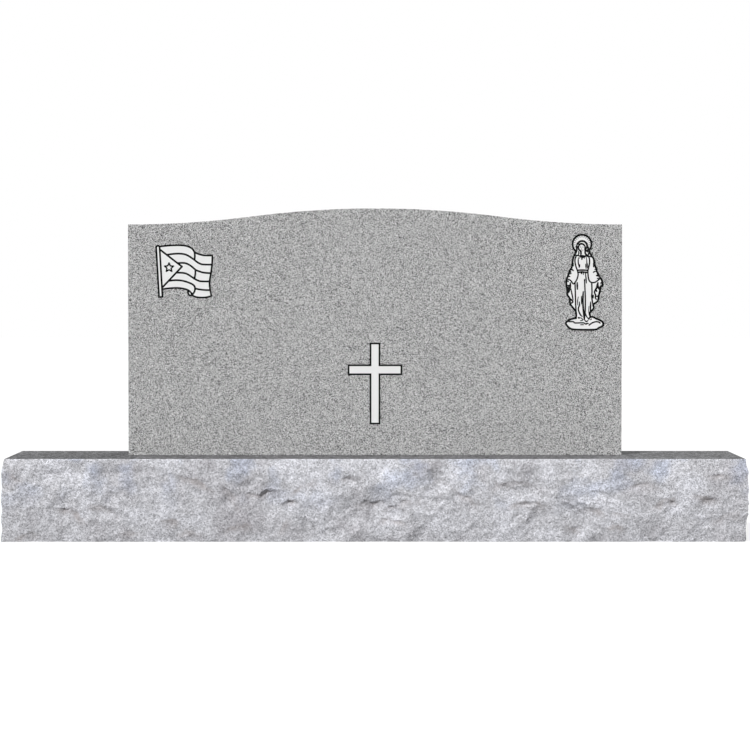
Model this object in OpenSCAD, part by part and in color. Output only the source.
// Upright granite headstone: a tablet with a serpentine top, carved with a flag, a robed
// figure and a plain cross, standing on a rock-pitched base.
// X runs along the stone, -Y is its carved front, Z is up. The origin is the middle of the
// base's underside. Millimetres.

/* [Base] */
// Length of the base along X, over its rock faces
base_length = 1806; // [1400:1:2200]
// Depth of the base along Y, over its rock faces
base_depth = 355.6; // [290:0.1:460]
// Height of the base
base_height = 200; // [120:1:300]
// How far the rock of the two ends swells past the top's sharp edge
end_swell = 7.5; // [4:0.1:12]
// How far the rock of the front and back swells past that edge
face_swell = 7; // [4:0.1:12]
// Straight pitched margin under that edge
margin = 3; // [2:0.5:8]
// Length of one chip in the rock face
chip_length = 84; // [50:1:140]
// Height of one chip in the rock face
chip_height = 46; // [30:1:80]
// Depth of a chip, as a share of the swell
chip_depth = 0.62; // [0.2:0.01:0.8]

/* [Tablet] */
// Width of the tablet along X
tablet_width = 1219.2; // [1000:0.1:1500]
// Height of the tablet at its centre
tablet_height = 609.6; // [500:0.1:760]
// Thickness of the tablet along Y
tablet_thickness = 152.4; // [100:0.1:190]
// Rise of the serpentine top from its shoulders to its centre
top_rise = 39.5; // [20:0.5:80]
// Ledge of base left behind the tablet, inside the top's sharp edge
back_ledge = 32; // [10:1:60]

/* [Carving] */
// Depth of the frosted panels below the face
panel_depth = 1; // [0.5:0.1:2]
// Depth of the outline grooves below the face
groove_depth = 2.5; // [2.1:0.1:5]
// How far the blast widens a groove past each edge of its stencil
undercut = 0.3; // [0.1:0.1:0.5]

/* [Cross] */
// Height of the cross, over its outline
cross_height = 202.5; // [150:0.5:240]
// Width of the cross, over its outline
cross_width = 135; // [90:0.5:160]
// Width of each bar, over its outline
cross_bar = 26.6; // [16:0.1:36]
// Groove around the cross
cross_line = 4.4; // [2:0.1:5]
// Foot of the cross above the foot of the tablet
cross_foot = 76; // [40:0.5:120]
// Top of the crossbar below the top of the cross
cross_head = 54; // [30:0.5:80]

/* [Flag] */
// Foot of the pole from the tablet's left edge
flag_inset = 80.1; // [40:0.1:120]
// Top of the pole below the tablet's shoulder
flag_drop = 51; // [30:0.5:90]
// Width of the flag's grooves
flag_line = 4.6; // [2.5:0.1:5]
// Width of the star's groove
star_line = 3.7; // [2:0.1:4]
// Width of the pole between its two grooves
pole_width = 8.5; // [6:0.5:10]
// Size of the star from its centre to a point
star_radius = 11.5; // [8:0.5:13]

/* [Figure] */
// Middle of the figure's head from the tablet's right edge
figure_inset = 98.7; // [80:0.1:140]
// Top of the halo below the tablet's shoulder
figure_drop = 23; // [15:0.5:60]
// Width of the figure's grooves
figure_line = 5; // [2:0.1:6]
// Width of the grooves inside its outline
robe_line = 3.6; // [1.5:0.1:4]
// Radius of the halo
halo_radius = 23.2; // [18:0.1:28]

/* [Hidden] */
stone = [0.60, 0.60, 0.61];
rock = [0.72, 0.72, 0.74];
eps = 0.01;
overcut = 5;

// The rectangle inside the top's sharp edge
top_length = base_length - 2 * end_swell;
top_depth = base_depth - 2 * face_swell;

// ---- rock faces: points around the base, swollen outwards and scooped by chips ----

step = 22;
long_steps = round(top_length / step);
short_steps = round(top_depth / step);
stations = 2 * (long_steps + short_steps);
rows = 10;

// Height of one row, from the margin's lower line to just below the underside
function row_z(row) = let (low = -overcut, high = base_height - margin)
    high + (low - high) * row / rows;

// Where a station lies on the sharp edge, going round from the left end of the front
function on_edge(k) =
    k <= long_steps ? [top_length * (k / long_steps - 0.5), -top_depth / 2] :
    k <= long_steps + short_steps ?
        [top_length / 2, top_depth * ((k - long_steps) / short_steps - 0.5)] :
    k <= 2 * long_steps + short_steps ?
        [top_length * (0.5 - (k - long_steps - short_steps) / long_steps), top_depth / 2] :
        [-top_length / 2, top_depth * (0.5 - (k - 2 * long_steps - short_steps) / short_steps)];

function at_end(k) = abs(on_edge(k)[0]) > top_length / 2 - eps;
function at_face(k) = abs(on_edge(k)[1]) > top_depth / 2 - eps;

// A repeatable number from 0 to 1 for chip i, j
function dice(i, j, n) = let (v = sin(i * 127.1 + j * 311.7 + n * 74.7) * 43758.5453) v - floor(v);

// Bowl that chip i, j takes out of the rock at s along the edge and z up, 0 outside it
function bowl(i, j, s, z) = let (
    ds = s / chip_length - i - 0.15 - 0.7 * dice(i, j, 1),
    dz = z / chip_height - j - 0.15 - 0.7 * dice(i, j, 2),
    wide = 0.7 + 0.45 * dice(i, j, 3),
    deep = 0.25 + 0.75 * dice(i, j, 4)
) deep * (1 - pow(ds / wide, 2) - pow(dz / 0.8, 2));

function scoop(s, z) = let (i = floor(s / chip_length), j = floor(z / chip_height))
    max(0, max([for (a = [-1 : 1]) for (b = [-1 : 1]) bowl(i + a, j + b, s, z)]));

// The rock swells fast under the sharp edge, is fullest a third of the way down and draws in again
function swell(z) = let (t = (base_height - z) / base_height) sqrt(t) * (1 - 0.93 * t) / 0.388;

function rough(k, z) = let (s = k * step)
    swell(z) * (1 - chip_depth * scoop(s, z)) * (1 + 0.1 * sin(s * 0.9) + 0.08 * sin(s * 2.3 + z));

rough_rows = [for (r = [0 : rows]) [for (k = [0 : stations - 1]) r == 0 ? 0 : rough(k, row_z(r))]];
// The fullest point of each side: left and right ends, then front and back
end_peaks = [for (s = [-1, 1]) max([for (r = rough_rows) for (k = [0 : stations - 1])
    if (at_end(k) && on_edge(k)[0] * s > 0) r[k]])];
face_peaks = [for (s = [-1, 1]) max([for (r = rough_rows) for (k = [0 : stations - 1])
    if (at_face(k) && on_edge(k)[1] * s > 0) r[k]])];

function swollen(at, out, reach, peaks) = at + sign(at) * out * reach / peaks[at < 0 ? 0 : 1];

// Each side is scaled so that its fullest point lies exactly on the overall size
function rock_point(k, r) = let (p = on_edge(k), out = rough_rows[r][k]) [
    at_end(k) ? swollen(p[0], out, end_swell, end_peaks) : p[0],
    at_face(k) ? swollen(p[1], out, face_swell, face_peaks) : p[1],
    row_z(r)
];

// One closed skin: an over-height ring, the rows of rock, and a middle point for each cap
module rock_block() {
    ring = [for (k = [0 : stations - 1]) concat(on_edge(k), base_height + overcut)];
    skin = [for (r = [0 : rows]) for (k = [0 : stations - 1]) rock_point(k, r)];
    top_mid = (rows + 2) * stations;
    bands = [for (r = [0 : rows]) for (k = [0 : stations - 1])
        let (a = r * stations + k, b = r * stations + (k + 1) % stations)
        each [[a, b, b + stations], [a, b + stations, a + stations]]];
    lid = [for (k = [0 : stations - 1]) [top_mid, (k + 1) % stations, k]];
    foot = [for (k = [0 : stations - 1]) let (a = (rows + 1) * stations)
        [top_mid + 1, a + k, a + (k + 1) % stations]];
    polyhedron(
        points = concat(ring, skin, [[0, 0, base_height + overcut], [0, 0, -overcut]]),
        faces = concat(bands, lid, foot), convexity = 6);
}

// The saw leaves the top and the underside flat
module base() {
    color(rock) intersection() {
        rock_block();
        translate([-base_length, -base_depth, 0]) cube([2 * base_length, 2 * base_depth, base_height]);
    }
}

// ---- curves: a smooth line through chosen points, and a groove of even width along it ----

function bend(a, b, c, d, t) = 0.5 * (2 * b + (c - a) * t + (2 * a - 5 * b + 4 * c - d) * t * t
    + (3 * b - a - 3 * c + d) * t * t * t);

function smooth(p, n = 3) = let (last = len(p) - 1) concat(
    [for (i = [0 : last - 1]) for (k = [0 : n - 1])
        bend(p[max(i - 1, 0)], p[i], p[i + 1], p[min(i + 2, last)], k / n)],
    [p[last]]);

function arc(centre, r, from, to, n = 24) =
    [for (k = [0 : n]) let (a = from + (to - from) * k / n) centre + r * [cos(a), sin(a)]];

function reversed(p) = [for (i = [len(p) - 1 : -1 : 0]) p[i]];

function side(p, i) = let (last = len(p) - 1, t = p[min(i + 1, last)] - p[max(i - 1, 0)])
    [-t[1], t[0]] / norm(t);

module groove(p, width) {
    w = width / 2 - undercut;
    edge = [for (i = [0 : len(p) - 1]) side(p, i) * w];
    left = [for (i = [0 : len(p) - 1]) p[i] + edge[i]];
    right = [for (i = [0 : len(p) - 1]) p[i] - edge[i]];
    polygon(concat(left, reversed(right)));
    for (end = [p[0], p[len(p) - 1]]) translate(end) circle(r = w, $fn = 16);
}

// The blast joins the stencil's slots and widens them
module blasted() offset(delta = undercut) children();

// ---- cross ----

module cross_shape(inset) {
    translate([inset - cross_bar / 2, inset]) square([cross_bar - 2 * inset, cross_height - 2 * inset]);
    translate([inset - cross_width / 2, cross_height - cross_head - cross_bar + inset])
        square([cross_width - 2 * inset, cross_bar - 2 * inset]);
}

module cross_grooves() difference() {
    cross_shape(0);
    cross_shape(cross_line);
}

// ---- flag: points from the foot of its pole, X to the fly and Y up ----

pole_foot = [0.5, 2];
pole_head = [-6.5, 126];
pole_tip = [-6.5, 128.5];
pole_across = let (run = pole_head - pole_foot) [run[1], -run[0]] / norm(run) * pole_width / 2;
flag_top = 130;

hoist_top = [[-3, 126.5], [16, 128.5], [31, 129.5], [45, 129.7], [58, 129], [70, 126], [79, 120.5],
    [84, 112]];
rear_top = [[84, 112], [97, 107], [109, 104.5], [128, 104.5]];
fly = [[128, 104.5], [127.5, 86], [125, 64], [121.5, 44], [121, 31], [123, 17], [125.5, 4.5]];
rear_foot = [[125.5, 4.5], [115, 1.5], [104, 0.5], [93, 1], [84, 3], [78, 6]];
front_foot = [[3.5, 21], [18, 23], [36, 24.3], [51, 23.5], [65.5, 20], [73, 15], [78.5, 8]];
tuck = [[67.5, 19], [68.5, 10.5], [72, 6], [78, 7]];
stripes = [
    [[16, 106], [29, 108], [45, 109], [60, 107.3], [71, 102.3], [83.5, 93.5], [93, 86.5], [104, 82.3],
        [127, 81.8]],
    [[42, 85.5], [58, 86], [69, 82.4], [78, 76.4], [87, 68.6], [97, 64.7], [107, 62], [124.5, 60.5]],
    [[40, 62], [53.5, 61.6], [64.5, 59.2], [75.5, 52.6], [84.5, 46.5], [93, 42.4], [101, 40.5],
        [121.5, 40.2]],
    [[21.5, 42], [36, 43.4], [51, 42.6], [64.5, 39.3], [77, 34.3], [83.5, 29], [85, 22.5], [83.5, 15],
        [78.5, 8]],
    [[85, 22.8], [97, 20.5], [109, 19.2], [122.5, 18.8]]
];
folds = [[[84, 112], [84.8, 103], [84, 94]], [[86, 69], [86, 60], [84, 48]]];
hoist_triangle = [[-2, 119.5], [53, 77], [3.5, 24.5]];
star_centre = [21, 74.5];
star_waist = 0.47;

module pole() polygon([pole_foot - pole_across, pole_foot + pole_across,
    pole_head + pole_across, pole_tip, pole_head - pole_across]);

module flag_panel() {
    polygon(concat(smooth(hoist_top), smooth(rear_top), smooth(fly), smooth(rear_foot),
        reversed(smooth(front_foot))));
    polygon(smooth(tuck));
    pole();
}

module star_grooves() {
    tips = [for (i = [0 : 10]) let (a = 90 + 36 * i) star_centre
        + star_radius * (i % 2 == 0 ? 1 : star_waist) * [cos(a), sin(a)]];
    for (i = [0 : 9]) groove([tips[i], tips[i + 1]], star_line);
}

module flag_grooves() blasted() {
    for (line = [hoist_top, rear_top, fly, rear_foot, front_foot, tuck]) groove(smooth(line), flag_line);
    for (line = concat(stripes, folds)) groove(smooth(line), flag_line);
    for (i = [0, 1]) groove([hoist_triangle[i], hoist_triangle[i + 1]], flag_line);
    for (s = [-1, 1]) groove([pole_foot + s * pole_across, pole_head + s * pole_across], flag_line);
    groove([pole_foot - pole_across, pole_foot + pole_across], flag_line);
    groove(smooth([pole_head - pole_across, pole_tip, pole_head + pole_across]), flag_line);
    star_grooves();
}

// ---- figure: points from the middle of the rock it stands on, X to the right and Y up ----

figure_top = 238.2;
halo_centre = [0, figure_top - halo_radius - figure_line / 2];
halo_span = [-40, 229];
veil_centre = [0.4, 208.3];
veil_radius = 12;
veil_span = [24, 156];

mantle_left = [[-13, 199], [-14.5, 193], [-19, 184.5], [-21.7, 177.5], [-23.7, 165.5], [-25.5, 154.5],
    [-30, 147.5], [-32.5, 140], [-35.5, 131.5], [-38.5, 122.5], [-38.2, 108.5]];
hem_left = [[-38.2, 108.5], [-36.1, 98], [-36.1, 88], [-30.5, 79.5], [-29.7, 71], [-28.4, 64],
    [-22, 55.5], [-14.5, 45.5], [-14.3, 30]];
mantle_right = [[11.5, 214.5], [13.5, 206], [16.4, 200], [18.5, 193], [21.5, 187], [24.5, 182], [29, 176],
    [30.7, 164], [34.3, 154.5], [37.7, 143.5], [43, 133], [49.5, 122.5], [51.4, 111]];
hem_right = [[51.4, 111], [46.3, 106], [44.6, 95.5], [42, 87], [41, 79.5], [38.5, 71.5], [30, 65],
    [27.9, 62], [29.2, 54], [19.8, 43.5], [21, 33]];
boulder = [[-14.3, 30], [-23, 28.5], [-31.5, 25], [-39, 19], [-38.2, 13.5], [-29, 4.6], [-13.5, 1.5],
    [32.5, 1.5], [41, 5.5], [51.5, 11], [52, 19.5], [43.5, 25.5], [36, 28.5], [27.5, 33], [21, 32.5]];
robe_foot = [[-14, 22], [21, 22]];
robe_lines = [
    [[-11.5, 214.5], [-13.6, 206], [-13, 199]],
    [[-14.5, 182], [-17, 176], [-17, 167], [-14.4, 156], [-11, 147.3]],
    [[16.4, 182], [18.5, 176], [18.5, 165], [16.4, 154.5], [14.5, 147]],
    [[-19, 184.4], [-9, 184.5], [0, 181], [8, 183.5], [16.4, 182], [24.5, 182]],
    [[-11, 148.2], [-3, 148.7], [5, 148.7], [14.5, 148]],
    [[-10.2, 142.6], [0, 143.4], [8, 142.6], [14.8, 142]],
    [[-11, 147], [-9.3, 137.5], [-12, 126.5], [-16, 119.5], [-21.2, 114.4], [-27, 122], [-33, 125.5]],
    [[14.5, 147], [15.5, 133], [17.2, 124.6], [20.7, 119.5], [26.6, 117.4], [33.5, 119], [39.4, 123],
        [43, 126]],
    [[6.6, 125], [7.4, 105], [8.4, 86], [8.6, 66], [8.2, 46], [6.2, 27]],
    [[-17, 117], [-16.2, 93], [-15.7, 72.5], [-14.3, 47]],
    [[24.2, 117], [25, 94], [24.2, 83], [27.5, 62]],
    [[-32, 21.4], [-20.3, 21], [-17, 18], [3.6, 18.4], [8.7, 16], [15.5, 17]],
    [[18, 12.8], [26, 18.4], [34.3, 21], [41, 20.5], [45, 18]]
];

module figure_panel() {
    translate(halo_centre) circle(r = halo_radius, $fn = 64);
    polygon(concat(smooth(mantle_left), smooth(hem_left), robe_foot,
        reversed(concat(smooth(mantle_right), smooth(hem_right)))));
    polygon(smooth(boulder));
}

module figure_grooves() blasted() {
    groove(arc(halo_centre, halo_radius, halo_span[0], halo_span[1], 36), figure_line);
    groove(arc(veil_centre, veil_radius, veil_span[0], veil_span[1], 12), figure_line);
    for (line = [mantle_left, hem_left, mantle_right, hem_right, boulder]) groove(smooth(line), figure_line);
    for (line = robe_lines) groove(smooth(line), robe_line);
}

// ---- tablet ----

half_width = tablet_width / 2;
shoulder = tablet_height - top_rise;
tablet_front = top_depth / 2 - back_ledge - tablet_thickness;

// Two equal arcs a side, level at the shoulder and at the centre, that meet half way
wave_radius = (pow(half_width / 2, 2) + pow(top_rise / 2, 2)) / top_rise;
wave_turn = asin(half_width / 2 / wave_radius);
wave_steps = 24;
crown = arc([0, tablet_height - wave_radius], wave_radius, 90 - wave_turn, 90 + wave_turn, 2 * wave_steps);
right_flank = arc([half_width, shoulder + wave_radius], wave_radius, -90, -90 - wave_turn, wave_steps);
left_flank = [for (p = reversed(right_flank)) [-p[0], p[1]]];
// The crown's two end points are the flanks' own, so they are left off
crown_between = [for (i = [1 : len(crown) - 2]) crown[i]];

module outline() polygon(concat([[-half_width, 0], [half_width, 0]],
    right_flank, crown_between, left_flank));

// Stands a flat drawing up on the tablet's back face, with its thickness towards the front
module standing(depth) rotate([90, 0, 0]) linear_extrude(depth) children();

module cross_at() translate([0, cross_foot]) children();
module flag_at() translate([flag_inset - half_width, shoulder - flag_drop - flag_top]) children();
module figure_at() translate([half_width - figure_inset, shoulder - figure_drop - figure_top]) children();

module cut_from_face(depth) translate([0, depth - tablet_thickness, 0]) standing(depth + overcut) children();

module tablet() {
    color(stone) translate([0, tablet_front + tablet_thickness, base_height]) difference() {
        standing(tablet_thickness) outline();
        cut_from_face(panel_depth) cross_at() cross_shape(cross_line / 2);
        cut_from_face(panel_depth) flag_at() flag_panel();
        cut_from_face(panel_depth) figure_at() figure_panel();
        cut_from_face(groove_depth) cross_at() cross_grooves();
        cut_from_face(groove_depth) flag_at() flag_grooves();
        cut_from_face(groove_depth) figure_at() figure_grooves();
    }
}

base();
tablet();
